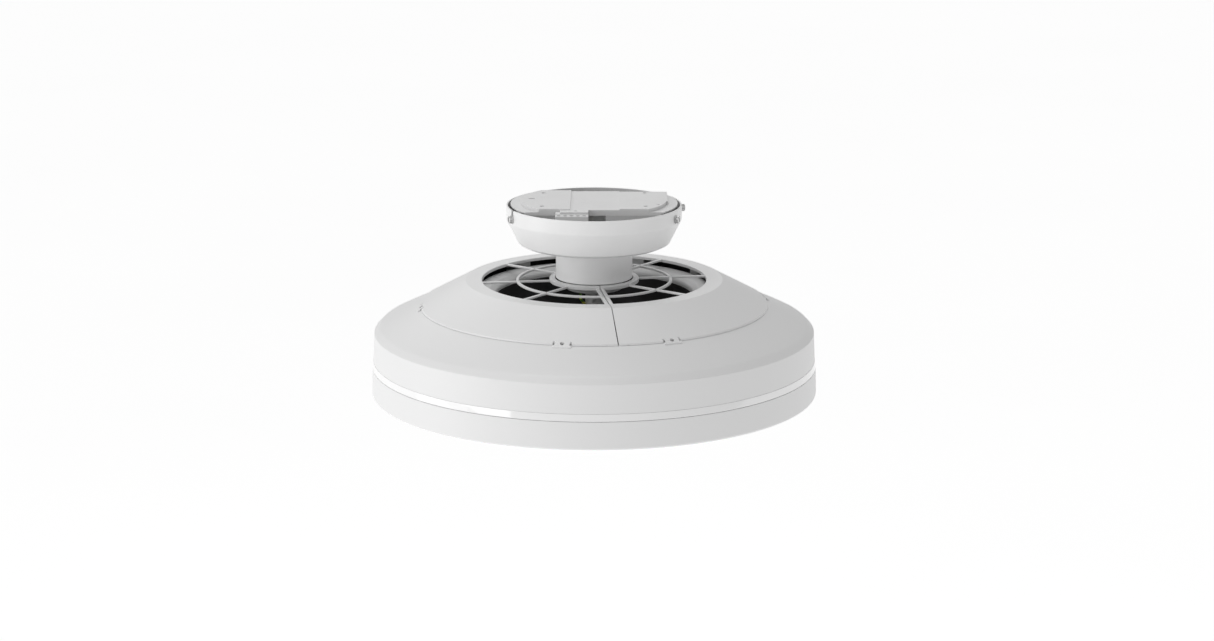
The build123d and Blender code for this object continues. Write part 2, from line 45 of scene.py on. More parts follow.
mm = 0.001
eye_distance, eye_down, eye_aim = 3.138, math.radians(13.72), Vector((0.0144, 0.0, -0.1388))
lens_length, film_width = 82.7, 36.0
room_light = 0.44
lamp_distance, lamp_aim = 3.0, Vector((0.0, 0.0, -0.13))
floor_height, floor_reach = -2.4, 60

camera = bpy.data.objects.new("camera", bpy.data.cameras.new("camera"))
camera.data.lens, camera.data.sensor_width = lens_length, film_width
camera.location = eye_aim + eye_distance * Vector((0.0, -math.cos(eye_down), math.sin(eye_down)))
camera.rotation_euler = (math.pi / 2 - eye_down, 0.0, 0.0)
camera.data.clip_end = 200.0
bpy.context.scene.collection.objects.link(camera)
bpy.context.scene.camera = camera
bpy.context.scene.view_settings.view_transform = "Standard"

world = bpy.data.worlds.new("room")
bpy.context.scene.world = world
world.use_nodes = True
background = world.node_tree.nodes["Background"]
background.inputs["Color"].default_value = (1.0, 1.0, 1.0, 1.0)
background.inputs["Strength"].default_value = room_light


def soft_light(name, place, wide, tall, power):
    """A soft box in front of the fan's middle; its place is in degrees left of the front and up."""
    lamp = bpy.data.objects.new(name, bpy.data.lights.new(name, "AREA"))
    lamp.data.shape, lamp.data.size, lamp.data.size_y = "RECTANGLE", wide, tall
    lamp.data.energy = power
    left, height = (math.radians(angle) for angle in place)
    away = Vector((-math.sin(left) * math.cos(height), -math.cos(left) * math.cos(height),
                   math.sin(height)))
    lamp.location = lamp_aim + lamp_distance * away
    lamp.rotation_euler = away.to_track_quat("Z", "Y").to_euler()
    bpy.context.scene.collection.objects.link(lamp)


soft_light("key_light", (63.0, 15.0), 2.6, 1.8, 27.0)
soft_light("top_light", (90.0, 80.0), 1.8, 1.8, 20.5)
soft_light("back_light", (170.0, 35.0), 1.8, 1.8, 10.0)
soft_light("low_light", (80.0, -14.0), 1.8, 1.4, 6.0)


class Wire:
    """A node's output that can be used in sums; each sum adds a Math node."""

    def __init__(self, finish, socket):
        self.finish, self.socket = finish, socket

    def sum(self, operation, first, second):
        return self.finish.add("ShaderNodeMath", {"operation": operation}, {0: first, 1: second})

    def __add__(self, other):
        return self.sum("ADD", self, other)

    def __mul__(self, other):
        return self.sum("MULTIPLY", self, other)

    __radd__, __rmul__ = __add__, __mul__


class Finish:
    """A material: one Principled shader whose constant sockets are set once, by name."""

    def __init__(self, name, **fixed):
        self.material = bpy.data.materials.new(name)
        self.material.use_nodes = True
        self.tree = self.material.node_tree
        self.shader = self.tree.nodes["Principled BSDF"]
        for socket, value in fixed.items():
            self.shader.inputs[socket.replace("_", " ")].default_value = value
        self.place = self.add("ShaderNodeTexCoord", {}, {}, "Object")

    def add(self, kind, settings, sockets, output=0):
        """A new node's output; its sockets take constants or other nodes' outputs."""
        node = self.tree.nodes.new(kind)
        for setting, value in settings.items():
            setattr(node, setting, value)
        for socket, value in sockets.items():
            self.feed(node.inputs[socket], value)
        return Wire(self, node.outputs[output])

    def feed(self, socket, value):
        if isinstance(value, Wire):
            self.tree.links.new(value.socket, socket)
        else:
            socket.default_value = value

    def surface(self, **feeds):
        """Feeds the shader's sockets, by name."""
        for socket, value in feeds.items():
            self.feed(self.shader.inputs[socket.replace("_", " ")], value)
        return self.material

    def noise(self, scale, detail=3.0, rough=0.5):
        return self.add("ShaderNodeTexNoise", {}, {
            "Vector": self.place, "Scale": scale, "Detail": detail, "Roughness": rough})

    def mix(self, share, first, second):
        return self.add("ShaderNodeMix", {"data_type": "RGBA"}, {0: share, 6: first, 7: second}, 2)

    def ramp(self, value, low, high):
        """0 below low and 1 above high."""
        return self.add("ShaderNodeMapRange", {},
                        {"Value": value, "From Min": low, "From Max": high})

    def bump(self, height, depth, strength=1.0):
        return self.add("ShaderNodeBump", {},
                        {"Height": height, "Distance": depth, "Strength": strength})


def tone(value):
    return (value, value, value, 1.0)


floor_finish = Finish("pale_floor", Roughness=0.9, Emission_Strength=0.59,
                      Emission_Color=tone(1.0))
floor_finish.surface(Base_Color=floor_finish.mix(floor_finish.noise(0.6), tone(0.86), tone(0.9)))
floor_mesh = bpy.data.meshes.new("floor")
floor_mesh.from_pydata([(x * floor_reach, y * floor_reach, floor_height)
                        for x, y in ((-1, -1), (1, -1), (1, 1), (-1, 1))], [], [(0, 1, 2, 3)])
floor = bpy.data.objects.new("floor", floor_mesh)
floor_mesh.materials.append(floor_finish.material)
bpy.context.scene.collection.objects.link(floor)


# ---- Ceiling bracket
# A stamped sheet-steel plate with raised pads, a bent front flange and screw tabs, white coated.
# The socket for the stem is riveted under it, and it is screwed to the ceiling through its holes.

weld_reach = 0.005 * mm
bevelled_angle = math.radians(40.0)      # edges sharper than this are rounded


def dress(node, material, rounding=0.0):
    """Gives a CAD node its finish, and rounds its edges by a width in millimetres."""
    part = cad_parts[node]
    part.data.materials.clear()
    part.data.materials.append(material)
    weld = part.modifiers.new("weld", "WELD")
    weld.merge_threshold = weld_reach
    if rounding:
        bevel = part.modifiers.new("bevel", "BEVEL")
        bevel.width, bevel.segments, bevel.limit_method = rounding * mm, 2, "ANGLE"
        bevel.angle_limit = bevelled_angle
        bevel.use_clamp_overlap = True
    part.modifiers.new("normals", "WEIGHTED_NORMAL").keep_sharp = True
    for face in part.data.polygons:
        face.use_smooth = True


dusty_share = 0.955      # how bright the coating is where dust lies on it


def coated_steel(name, shade):
    """Smooth coating with the faint orange peel and dust that a sprayed sheet has."""
    coat = Finish(name, Specular_IOR_Level=0.5)
    peel, patches = coat.noise(900.0, 2.0), coat.noise(18.0, 4.0, 0.6)
    return coat.surface(
        Base_Color=coat.mix(coat.ramp(patches, 0.35, 0.75), tone(shade), tone(shade * dusty_share)),
        Roughness=0.30 + patches * 0.12,
        Normal=coat.bump(peel, 0.02 * mm, 0.5))


drawn_lines = (2500.0, 2500.0, 250.0)      # per metre across, across and along the drawing


def plated_steel(name, shade):
    """Zinc plating with fine drawn lines and a little dullness."""
    plate = Finish(name, Metallic=1.0)
    lines = plate.add("ShaderNodeTexNoise", {}, {
        "Vector": plate.add("ShaderNodeVectorMath", {"operation": "MULTIPLY"},
                            {0: plate.place, 1: drawn_lines}),
        "Scale": 1.0, "Detail": 2.0})
    return plate.surface(
        Base_Color=plate.mix(lines, tone(shade * 0.8), tone(shade)),
        Roughness=0.22 + lines * 0.2,
        Normal=plate.bump(lines, 0.01 * mm, 0.4))


bracket_coat = coated_steel("bracket_coat", 0.74)
dress("mounting_bracket", bracket_coat, 0.35)
dress("stem_socket", bracket_coat, 0.3)
dress("socket_rivets", bracket_coat, 0.2)


# ---- Terminal block
# A white moulded block for the supply wires, on the bracket's ear, with a clamp screw over each
# wire entry.

def moulded_plastic(name, shade, rough, grain=0.35, drift=0.03):
    """Moulded plastic: fine spark-eroded grain, slow drift of tone, slightly uneven gloss."""
    resin = Finish(name, Specular_IOR_Level=0.5)
    fine, slow = resin.noise(2200.0, 2.0), resin.noise(9.0, 3.0)
    return resin.surface(
        Base_Color=resin.mix(slow, tone(shade), tone(shade * (1.0 - drift))),
        Roughness=rough + fine * 0.08,
        Normal=resin.bump(fine, 0.012 * mm, grain))


block_plastic = moulded_plastic("block_plastic", 0.82, 0.4)
zinc_plate = plated_steel("zinc_plate", 0.5)
dress("terminal_block", block_plastic, 0.4)
dress("terminal_screws", zinc_plate, 0.15)


# ---- Hanger stem
# A coated steel tube that carries the whole fan. A cross pin holds it in the socket, a collar locks
# the neck to it, and a coupling joins it to the motor's fixed shaft.

stem_coat = coated_steel("stem_coat", 0.72)
dress("hanger_stem", stem_coat)
dress("stem_cross_pin", zinc_plate, 0.3)
dress("neck_locking_collar", stem_coat, 0.5)
dress("stem_coupling", stem_coat, 0.5)


# ---- Canopy
# A spun steel bowl that hides the bracket, powder coated white outside, its coat brightened as
# painted light; its inside faces are painted a darker grey as painted shade. Two open slots let it
# slide up over screws that stay in the bracket; two holes take its lock screws.

def rounded(corners, steps=6):
    """A closed outline in millimetres from (r, z, rounding) corners."""
    points = []
    for number, (r, z, radius) in enumerate(corners):
        here = Vector((r, z))
        if not radius:
            points.append(here)
            continue
        before = (Vector(corners[number - 1][:2]) - here).normalized()
        after = (Vector(corners[(number + 1) % len(corners)][:2]) - here).normalized()
        half = before.angle(after) / 2
        middle = here + (before + after).normalized() * radius / math.sin(half)
        first = here + before * radius / math.tan(half) - middle
        turn = math.pi - 2 * half
        if first.x * (here - middle).y - first.y * (here - middle).x < 0:
            turn = -turn
        for step in range(steps + 1):
            points.append(middle + Matrix.Rotation(turn * step / steps, 2) @ first)
    return points


def turned(outline, around=256, sweep=360.0, start=0.0):
    """Mesh of an outline swept about Z; angles are from the front, towards +X."""
    mesh = bmesh.new()
    whole = sweep == 360.0
    rows = []
    for step in range(around + (0 if whole else 1)):
        angle = math.radians(start + sweep * step / around)
        rows.append([mesh.verts.new((r * mm * math.sin(angle), -r * mm * math.cos(angle), z * mm))
                     for r, z in outline])
    for step in range(around):
        row, following = rows[step], rows[(step + 1) % len(rows)]
        for number in range(len(outline)):
            then = (number + 1) % len(outline)
            mesh.faces.new((row[number], row[then], following[then], following[number]))
    if not whole:
        mesh.faces.new(rows[0])
        mesh.faces.new(list(reversed(rows[-1])))
    bmesh.ops.remove_doubles(mesh, verts=mesh.verts, dist=1e-7)
    bmesh.ops.recalc_face_normals(mesh, faces=mesh.faces)
    return mesh


def as_mesh(shape):
    mesh = bpy.data.meshes.new("mesh")
    shape.to_mesh(mesh)
    shape.free()
    return mesh


def as_shape(mesh):
    """An editable shape, from a carved mesh or a shape."""
    if isinstance(mesh, bmesh.types.BMesh):
        return mesh
    shape = bmesh.new()
    shape.from_mesh(mesh)
    return shape


smooth_angle = math.radians(38.0)      # edges flatter than this shade as one surface


def piece(name, shapes, material, body, node, turn=0.0):
    """Joins shapes into one object that rides on a body and stands for a CAD node."""
    whole = bmesh.new()
    for shape in shapes:
        whole.from_mesh(as_mesh(shape) if isinstance(shape, bmesh.types.BMesh) else shape)
    whole.transform(Matrix.Rotation(math.radians(turn), 4, "Z"))
    for face in whole.faces:
        face.smooth = True
    for edge in whole.edges:
        edge.smooth = len(edge.link_faces) == 2 and edge.calc_face_angle() < smooth_angle
    obj = bpy.data.objects.new(name, as_mesh(whole))
    bpy.context.scene.collection.objects.link(obj)
    obj.data.materials.append(material)
    obj.modifiers.new("normals", "WEIGHTED_NORMAL").keep_sharp = True
    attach(obj, body)
    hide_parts(node)
    return obj


def carved(shape, cutters):
    """The shape with each cutter taken out of it."""
    solid = bpy.data.objects.new("solid", as_mesh(shape))
    bpy.context.scene.collection.objects.link(solid)
    tools = []
    for number, cutter in enumerate(cutters):
        tool = bpy.data.objects.new("tool", as_mesh(cutter))
        bpy.context.scene.collection.objects.link(tool)
        tools.append(tool)
        cut = solid.modifiers.new("cut", "BOOLEAN")
        cut.operation, cut.object, cut.solver = "DIFFERENCE", tool, "EXACT"
    result = bpy.data.meshes.new_from_object(
        solid.evaluated_get(bpy.context.evaluated_depsgraph_get()))
    for done in tools + [solid]:
        bpy.data.objects.remove(done)
    return result


def cylinder(radius, low, high, around=32):
    return turned([Vector(p) for p in ((0, low), (radius, low), (radius, high), (0, high))], around)


def moved(shape, *steps):
    """Applies transforms in the order given."""
    for step in steps:
        shape.transform(step)
    return shape


def about_z(angle):
    return Matrix.Rotation(math.radians(angle), 4, "Z")


def shift(x, y, z):
    return Matrix.Translation((x * mm, y * mm, z * mm))


def bar(low, high, rounding=0.0):
    """A block between two corners in millimetres with its edges rounded."""
    shape = bmesh.new()
    bmesh.ops.create_cube(shape, size=1.0)
    size = [(b - a) * mm for a, b in zip(low, high)]
    middle = [(a + b) / 2 for a, b in zip(low, high)]
    moved(shape, Matrix.Diagonal((*size, 1.0)), shift(*middle))
    if rounding:
        bmesh.ops.bevel(shape, geom=shape.edges, offset=rounding * mm, segments=3, profile=0.5,
                        affect="EDGES", clamp_overlap=True)
    return shape


# White powder coat made brighter than the shell's white: painted light for the canopy's shaded
# underside.
powder_coat_painted_light = coated_steel("powder_coat_painted_light", 0.87)
screw_height = -15.0
slot_angles, lock_angles = (-67.0, 106.0), (67.0, -113.0)
slot_reach, lock_hole_reach = 2.7, 2.4
wall_near, wall_far = 90, 99      # the cutters' span across the bowl's wall
lie_forward = Matrix.Rotation(math.radians(90.0), 4, "X")      # +Z to -Y

canopy_outline = rounded([
    (97.7, -5.0, 0.7), (97.7, -21.0, 6.0), (84.8, -47.0, 2.0), (77.5, -50.5, 6.0),
    (43.3, -50.5, 0.6), (43.3, -48.7, 0.5), (77.0, -48.7, 5.0), (83.3, -46.2, 1.5),
    (95.9, -20.6, 4.5), (95.9, -5.0, 0.7)])


def wall_hole(radius, angle):
    return moved(cylinder(radius, wall_near, wall_far), lie_forward, shift(0, 0, screw_height),
                 about_z(angle))


canopy_cuts = []
for angle in slot_angles:
    slot = bar((-slot_reach, -wall_far, screw_height), (slot_reach, -wall_near, 0))
    canopy_cuts += [moved(slot, about_z(angle)), wall_hole(slot_reach, angle)]
canopy_cuts += [wall_hole(lock_hole_reach, angle) for angle in lock_angles]
bowl = piece("canopy_bowl", [carved(turned(canopy_outline, 288), canopy_cuts)], powder_coat_painted_light,
             "canopy", "ceiling_canopy")
# The inside faces get a darker grey: painted shade for the shade inside the bowl.
inside_shade = Finish("grey_painted_shade")
inside_shade_mist = inside_shade.noise(140.0)
inside_shade.surface(Base_Color=inside_shade.mix(inside_shade_mist, tone(0.62), tone(0.68)),
               Roughness=0.5 + inside_shade_mist * 0.2)
bowl.data.materials.append(inside_shade.material)
rim_height, floor_middle = -5.6 * mm, -49.5 * mm
for face in bowl.data.polygons:
    outward = face.normal.xy.dot(face.center.xy) / face.center.xy.length
    inner_floor = face.normal.z > 0.5 and face.center.z > floor_middle
    if face.center.z < rim_height and (outward < -0.3 or inner_floor):
        face.material_index = 1


# ---- Canopy screws
# Zinc-plated screws with knurled heads and a washer each, low in front and taller behind. The two
# in the slots stay in the bracket; the lock screws ride on the canopy and bear on bracket tabs.

thread_pitch, thread_root, thread_crest = 0.7, 1.65, 2.0
washer_back, washer_front = 98.0, 99.2
low_head, tall_head = 102.2, 105.6
knurl_count, knurl_depth = 24, 0.06


def thumb_screw(tip, top):
    """A screw along -Y: threaded shank, washer and a knurled head with a slot."""
    shank = bmesh.new()
    around = 20
    rows = []
    for step in range(int((washer_back - tip) / thread_pitch) * around):
        angle = 2 * math.pi * step / around
        along = tip + thread_pitch * step / around
        rows.append([shank.verts.new((r * mm * math.cos(angle), -along * mm - d * mm,
                                      r * mm * math.sin(angle)))
                     for r, d in ((thread_root, 0.0), (thread_crest, thread_pitch / 2),
                                  (thread_root, thread_pitch))])
    for row, following in zip(rows, rows[1:]):
        for a, b in ((0, 1), (1, 2)):
            shank.faces.new((row[a], row[b], following[b], following[a]))
    core = moved(cylinder(thread_root + 0.01, tip, washer_front - 0.2, 24), lie_forward)
    washer = moved(turned(rounded([(2.1, washer_back, 0.1), (4.6, washer_back, 0.3),
                                   (4.6, washer_front, 0.3), (2.1, washer_front, 0.1)], 3), 40),
                   lie_forward)
    head = turned(rounded([(0, washer_front, 0), (4.0, washer_front, 0.4), (4.0, top, 0.8),
                           (0, top, 0)], 4), 96)
    for vert in head.verts:
        if math.hypot(vert.co.x, vert.co.y) > 3.5 * mm:
            wave = math.cos(knurl_count * math.atan2(vert.co.y, vert.co.x))
            ridge = 1.0 - knurl_depth * (0.5 + 0.5 * wave)
            vert.co.x, vert.co.y = vert.co.x * ridge, vert.co.y * ridge
    driver_slot = bar((-0.8, -107, -2.2), (0.8, 1.4 - top, 2.2))
    head = carved(moved(head, lie_forward), [driver_slot])
    return [shank, core, washer, head]


def set_of_screws(tip, angles):
    """A screw at each angle, in degrees from the front."""
    return [moved(as_shape(shape), shift(0, 0, screw_height), about_z(angle))
            for angle in angles
            for shape in thumb_screw(tip, low_head if abs(angle) < 90 else tall_head)]


screw_plate = plated_steel("screw_plate", 0.7)
piece("slot_screw_pair", set_of_screws(84.0, slot_angles), screw_plate, "body",
      "canopy_slot_screws")
piece("lock_screw_pair", set_of_screws(90.3, lock_angles), screw_plate, "canopy",
      "canopy_lock_screws")


# ---- Neck
# A white steel sleeve round the stem that the canopy slides on, closed underneath by a grey cap.
# The locking collar inside the canopy holds the sleeve up.

neck_outline = rounded([
    (41.0, -88.2, 0.5), (42.8, -88.2, 0.8), (42.8, -36.0, 1.5), (6.8, -36.0, 0.3),
    (6.8, -38.0, 0.3), (41.0, -38.0, 1.0)])
lead_hole = moved(cylinder(9.0, -42, -30), shift(-18.5, -12, 0))
# A brighter copy of the white coating: painted light that makes up for the shade under the canopy.
neck_coat_painted_light = coated_steel("neck_coat_painted_light", 0.94)
piece("neck_tube", [carved(turned(neck_outline, 192), [lead_hole])], neck_coat_painted_light, "body",
      "neck_sleeve")

grey_resin = moulded_plastic("grey_resin", 0.62, 0.4, drift=0.05)
cap_outline = rounded([
    (40.8, -80.0, 0.3), (40.8, -82.5, 0.3), (31.7, -82.5, 0.6), (31.7, -101.0, 1.2),
    (6.7, -101.0, 0.4), (6.7, -88.0, 0.4), (12.0, -88.0, 0.4), (12.0, -99.0, 0.6),
    (29.7, -99.0, 0.6), (29.7, -80.0, 0.3)])
lead_hole = moved(cylinder(3.0, -110, -90), shift(-15, -9, 0))
piece("neck_cap", [carved(turned(cap_outline, 144), [lead_hole])], grey_resin, "body",
      "neck_end_cap")


# ---- Leads
# A striped green and yellow earth lead runs down beside the stem to the coupling's lug; the brown
# supply leads go into the hollow stem.

earth_cover = Finish("earth_cover", Roughness=0.45)
green, yellow, stripe_rate = (0.10, 0.24, 0.03, 1.0), (0.72, 0.68, 0.06, 1.0), 900.0
height = earth_cover.add("ShaderNodeSeparateXYZ", {}, {0: earth_cover.place}, 2)
wave = earth_cover.add("ShaderNodeMath", {"operation": "SINE"}, {0: height * stripe_rate})
earth_cover.surface(Base_Color=earth_cover.mix(earth_cover.ramp(wave, -0.15, 0.15), green, yellow),
                    Normal=earth_cover.bump(earth_cover.noise(1500.0), 0.02 * mm, 0.4))
dress("earth_wire", earth_cover.material)

supply_cover = Finish("supply_cover", Roughness=0.45)
dark_brown, light_brown = (0.16, 0.06, 0.03, 1.0), (0.22, 0.09, 0.04, 1.0)
brown = supply_cover.mix(supply_cover.noise(120.0), dark_brown, light_brown)
supply_cover.surface(Base_Color=brown)
dress("supply_leads", supply_cover.material)


# ---- Housing shell
# The large white moulding of the fan body, in satin ABS, snapped over the main frame and screwed
# to its posts from below. The intake cover lies on its inner edge.

body_turn = 7.8      # degrees that the body hangs turned from the ceiling fittings
tongue_places = (17.6, 91.0, 162.4)      # degrees off the seam, on each half of the cover
tongue_hole_out = 194.0
shell_resin = moulded_plastic("shell_resin", 0.80, 0.36, grain=0.3, drift=0.015)
shell_outline = rounded([
    (187.0, -119.6, 0.4), (195.4, -119.6, 0.15), (230.6, -136.1, 30.0), (240.2, -140.9, 14.0),
    (246.8, -147.6, 2.0), (248.1, -179.1, 0.15), (236.0, -179.1, 0.4), (236.0, -177.0, 0.4),
    (245.7, -177.0, 0.6), (244.5, -149.0, 2.0), (239.0, -142.9, 12.0), (229.6, -138.2, 28.0),
    (194.6, -121.2, 0.4), (189.0, -121.2, 0.4), (189.0, -128.0, 0.4), (187.0, -128.0, 0.4)])
shell_cuts = [moved(cylinder(1.7, -124, -110, 24), shift(0, -tongue_hole_out, 0),
                    about_z(sign * angle)) for angle in tongue_places for sign in (-1, 1)]
piece("shell_moulding", [carved(turned(shell_outline, 360), shell_cuts)], shell_resin, "body",
      "housing_shell", body_turn)


# ---- Intake cover
# Two mirrored white mouldings that meet on a seam in front and behind: a sloped rim, a spoked
# grille and half a collar round the neck. Six springy tongues grip the shell's edge.

edge_out, edge_top, edge_low = 195.1, -117.6, -119.3
grille_top, grille_low = -90.3, -92.7
cone_fall = (edge_top + 90.0) / (edge_out - 143.9)      # rise of the sloped rim per millimetre out
cone_outline = rounded([
    (125.6, -90.0, 0.9), (143.9, -90.0, 3.0), (194.4, -117.2, 0.15), (edge_out, edge_low, 0.1),
    (192.3, edge_low, 0.4), (143.3, -92.3, 3.0), (127.6, -92.3, 0.4), (127.6, -93.5, 0.3),
    (125.6, -93.5, 0.3)])
collar_outline = rounded([(43.6, grille_low, 0.3), (50.1, grille_low, 0.3), (50.1, -88.4, 1.0),
                          (43.6, -88.4, 0.8)])
mid_ring_outline = rounded([(84.0, grille_low, 0.3), (87.4, grille_low, 0.3),
                            (87.4, grille_top, 0.9), (84.0, grille_top, 0.9)])
spoke_in, spoke_out, spoke_edge = 49.1, 126.6, 0.7
seam_half, seam_spoke_width = 0.5, 4.0


def seam_start(radius):
    """Angle off the seam, in degrees, at which a half begins at this radius."""
    return math.degrees(math.asin(seam_half / radius))


def half_ring(outline, radius, around):
    """Half of a ring, its ends about square to the seam at the radius given."""
    start = seam_start(radius)
    return turned(outline, around, 180.0 - 2 * start, start)


def tongue_blank():
    """The tongue's solid, across the cover's edge on the front side."""
    start, reach, sink = 192.5, 198.6, 0.2
    top_start, top_end = (edge_top + cone_fall * (out - edge_out) - sink for out in (start, reach))
    profile = [(start, top_start), (reach - 0.4, top_end + 0.1), (reach, top_end - 0.2),
               (reach, top_end - 1.3), (edge_out, edge_low), (start, edge_low)]
    shape = bmesh.new()
    sides = [[shape.verts.new((x * mm, -r * mm, z * mm)) for r, z in profile] for x in (-10, 10)]
    for number in range(len(profile)):
        then = (number + 1) % len(profile)
        shape.faces.new((sides[0][number], sides[0][then], sides[1][then], sides[1][number]))
    shape.faces.new(sides[0])
    shape.faces.new(list(reversed(sides[1])))
    bmesh.ops.recalc_face_normals(shape, faces=shape.faces)
    return shape


def cover_half(side):
    """One half, its seam on the Y axis before the turn; side is 1 for right and -1 for left."""
    rim_cuts = [bar((offset - 1.5, -197.1, -119.9), (offset + 1.5, -194.2, -116.0))
                for offset in (11.7, 19.7)]
    tongues = []
    for angle in tongue_places:
        openings = [moved(cylinder(2.2, -125, -110, 28), shift(0, -tongue_hole_out, 0))]
        openings += [bar((low, -196.2, -125), (low + 2.0, -191.4, -110)) for low in (-10.2, 8.2)]
        for opening in openings:
            moved(opening, about_z(angle))
            rim_cuts.append(opening.copy())
        tongues.append(carved(moved(tongue_blank(), about_z(angle)), openings))
    shapes = [carved(half_ring(cone_outline, 160.0, 180), rim_cuts)] + tongues
    shapes.append(half_ring(collar_outline, 46.0, 96))
    shapes.append(half_ring(mid_ring_outline, 85.0, 120))
    spokes = [(angle, -1.7, 1.7) for angle in (45.0, 90.0, 135.0)]
    spokes += [(0.0, seam_half, seam_half + seam_spoke_width),
               (180.0, -seam_half - seam_spoke_width, -seam_half)]
    for angle, low, high in spokes:
        shapes.append(moved(bar((low, -spoke_out, grille_low), (high, -spoke_in, grille_top),
                                spoke_edge), about_z(angle)))
    if side > 0:
        return shapes
    shapes = [moved(as_shape(shape), Matrix.Diagonal((-1.0, 1.0, 1.0, 1.0))) for shape in shapes]
    for shape in shapes:
        bmesh.ops.reverse_faces(shape, faces=shape.faces)
    return shapes


piece("cover_right_moulding", cover_half(1), shell_resin, "right_cover", "cover_right",
      body_turn)
piece("cover_left_moulding", cover_half(-1), shell_resin, "left_cover", "cover_left",
      body_turn)


# ---- Trim strip
# A glossy opal acrylic band pressed into the gap between the shell and the light skirt. It leans
# out slightly towards the bottom, so it catches more of the room's light than the walls.

strip_gloss = Finish("strip_gloss", Coat_Weight=1.0, Coat_Roughness=0.03, Coat_IOR=1.7)
strip_gloss.surface(Base_Color=strip_gloss.mix(strip_gloss.noise(12.0), tone(0.93), tone(0.90)),
                    Roughness=0.08 + strip_gloss.noise(60.0) * 0.03)
strip_outline = rounded([(244.6, -179.2, 0.3), (248.35, -179.2, 0.15), (249.55, -186.9, 0.5),
                         (244.6, -186.9, 0.3)])
piece("strip_band", [turned(strip_outline, 360)], strip_gloss.material, "body", "trim_strip")


# ---- Light skirt
# A white ring that hides the light's steel pan, its lower edge turned in with a generous radius
# round the lens. Eight screws through its inner flange hold it to the main frame.

skirt_outline = rounded([
    (236.2, -187.3, 0.3), (249.4, -187.3, 0.6), (250.3, -218.4, 3.0), (241.3, -218.4, 0.5),
    (241.3, -216.2, 0.5), (247.9, -216.2, 1.0), (247.2, -189.5, 0.6), (236.2, -189.5, 0.3)])
skirt_cuts = [moved(cylinder(2.1, -190.6, -186.0, 20), shift(0, -240.0, 0),
                    about_z(22.5 + 45 * step)) for step in range(8)]
piece("skirt_ring", [carved(turned(skirt_outline, 360), skirt_cuts)], shell_resin, "body",
      "light_skirt", body_turn)
dress("skirt_screws", zinc_plate, 0.3)


# ---- Opal lens
# A blow-moulded ring of milky acrylic over the light chips, with a soft rounded outer side that
# shows as a thin bright rim under the skirt, brightened further by a painted glow. Spring clips
# under the pan hold it.

# The faint emission is painted light: the lens glows a little although the chips behind it are not
# lit.
opal = Finish("opal", Roughness=0.35, Subsurface_Weight=0.35, Subsurface_Scale=0.004,
              Emission_Strength=0.1, Emission_Color=(1.0, 0.995, 0.985, 1.0))
opal.surface(Base_Color=opal.mix(opal.noise(14.0), tone(0.94), tone(0.91)),
             Normal=opal.bump(opal.noise(1400.0), 0.01 * mm, 0.3))


def arc(first, through, last, steps):
    """Points of a circular arc through three points."""
    (ax, ay), (bx, by), (cx, cy) = first, through, last
    scale = 2 * (ax * (by - cy) + bx * (cy - ay) + cx * (ay - by))
    aa, bb, cc = ax * ax + ay * ay, bx * bx + by * by, cx * cx + cy * cy
    middle = Vector(((aa * (by - cy) + bb * (cy - ay) + cc * (ay - by)) / scale,
                     (aa * (cx - bx) + bb * (ax - cx) + cc * (bx - ax)) / scale))
    ray = Vector(first) - middle
    sweep = math.atan2(ray.x * (cy - middle.y) - ray.y * (cx - middle.x),
                       ray.x * (cx - middle.x) + ray.y * (cy - middle.y))
    return [middle + Matrix.Rotation(sweep * step / steps, 2) @ ray for step in range(steps + 1)]


lens_outline = ([Vector((238.9, -206.2)), Vector((239.1, -206.0)), Vector((240.5, -206.0)),
                 Vector((240.7, -206.2))]
                + arc((240.7, -218.2), (229.0, -225.6), (212.0, -231.2), 16)
                + arc((172.0, -231.9), (152.0, -229.6), (141.6, -221.5), 12)
                + [Vector((141.6, -211.0)), Vector((143.4, -211.0))]
                + arc((143.4, -220.8), (153.2, -227.7), (172.0, -229.9), 10)
                + arc((211.4, -229.2), (227.9, -223.8), (238.9, -217.1), 14))
piece("lens_ring", [turned(lens_outline, 288)], opal.material, "lens", "diffuser")
dress("diffuser_clips", zinc_plate, 0.2)


# ---- Bell mouth, duct and black panels
# The grey bell mouth leads air into the black duct round the blades. Behind it black panels and
# the main frame's grey posts close off the space that holds the electronics; the near-black of the
# duct and panels is partly painted shade of that space.

# Near-black resin: real black plastic on the blades and parts, and on the duct, shroud and baffle
# also painted shade.
black_resin_and_painted_shade = moulded_plastic("black_resin_and_painted_shade", 0.012, 0.45, drift=0.2)
bell_resin = moulded_plastic("bell_resin", 0.60, 0.35, drift=0.05)
bell_outline = rounded([
    (110.2, -110.5, 0.4), (110.2, -106.0, 5.0), (116.6, -101.6, 8.0), (126.0, -99.5, 3.0),
    (129.0, -99.5, 0.8), (129.0, -102.5, 0.4), (127.3, -102.5, 0.4), (127.3, -101.4, 0.4),
    (118.0, -103.4, 6.0), (112.2, -107.2, 3.5), (112.2, -110.5, 0.4)])
piece("bell_ring", [turned(bell_outline, 256)], bell_resin, "body", "bell_mouth")
dress("air_duct", black_resin_and_painted_shade, 0.3)
dress("inner_shroud", black_resin_and_painted_shade, 0.3)
dress("air_baffle", black_resin_and_painted_shade, 0.3)
dress("main_frame", grey_resin, 0.4)
dress("frame_posts", bell_resin, 0.4)
dress("shell_screws", zinc_plate, 0.3)


# ---- Impeller
# A black moulded wheel: a hub pressed over the motor's rotor and seven twisted blades with rounded
# edges, thicker at the root.

blade_count, blade_root, blade_tip, blade_height = 7, 44.6, 103.5, -153.0
rib_count, rib_corners = 12, 28      # cross-sections along a blade, and points round each


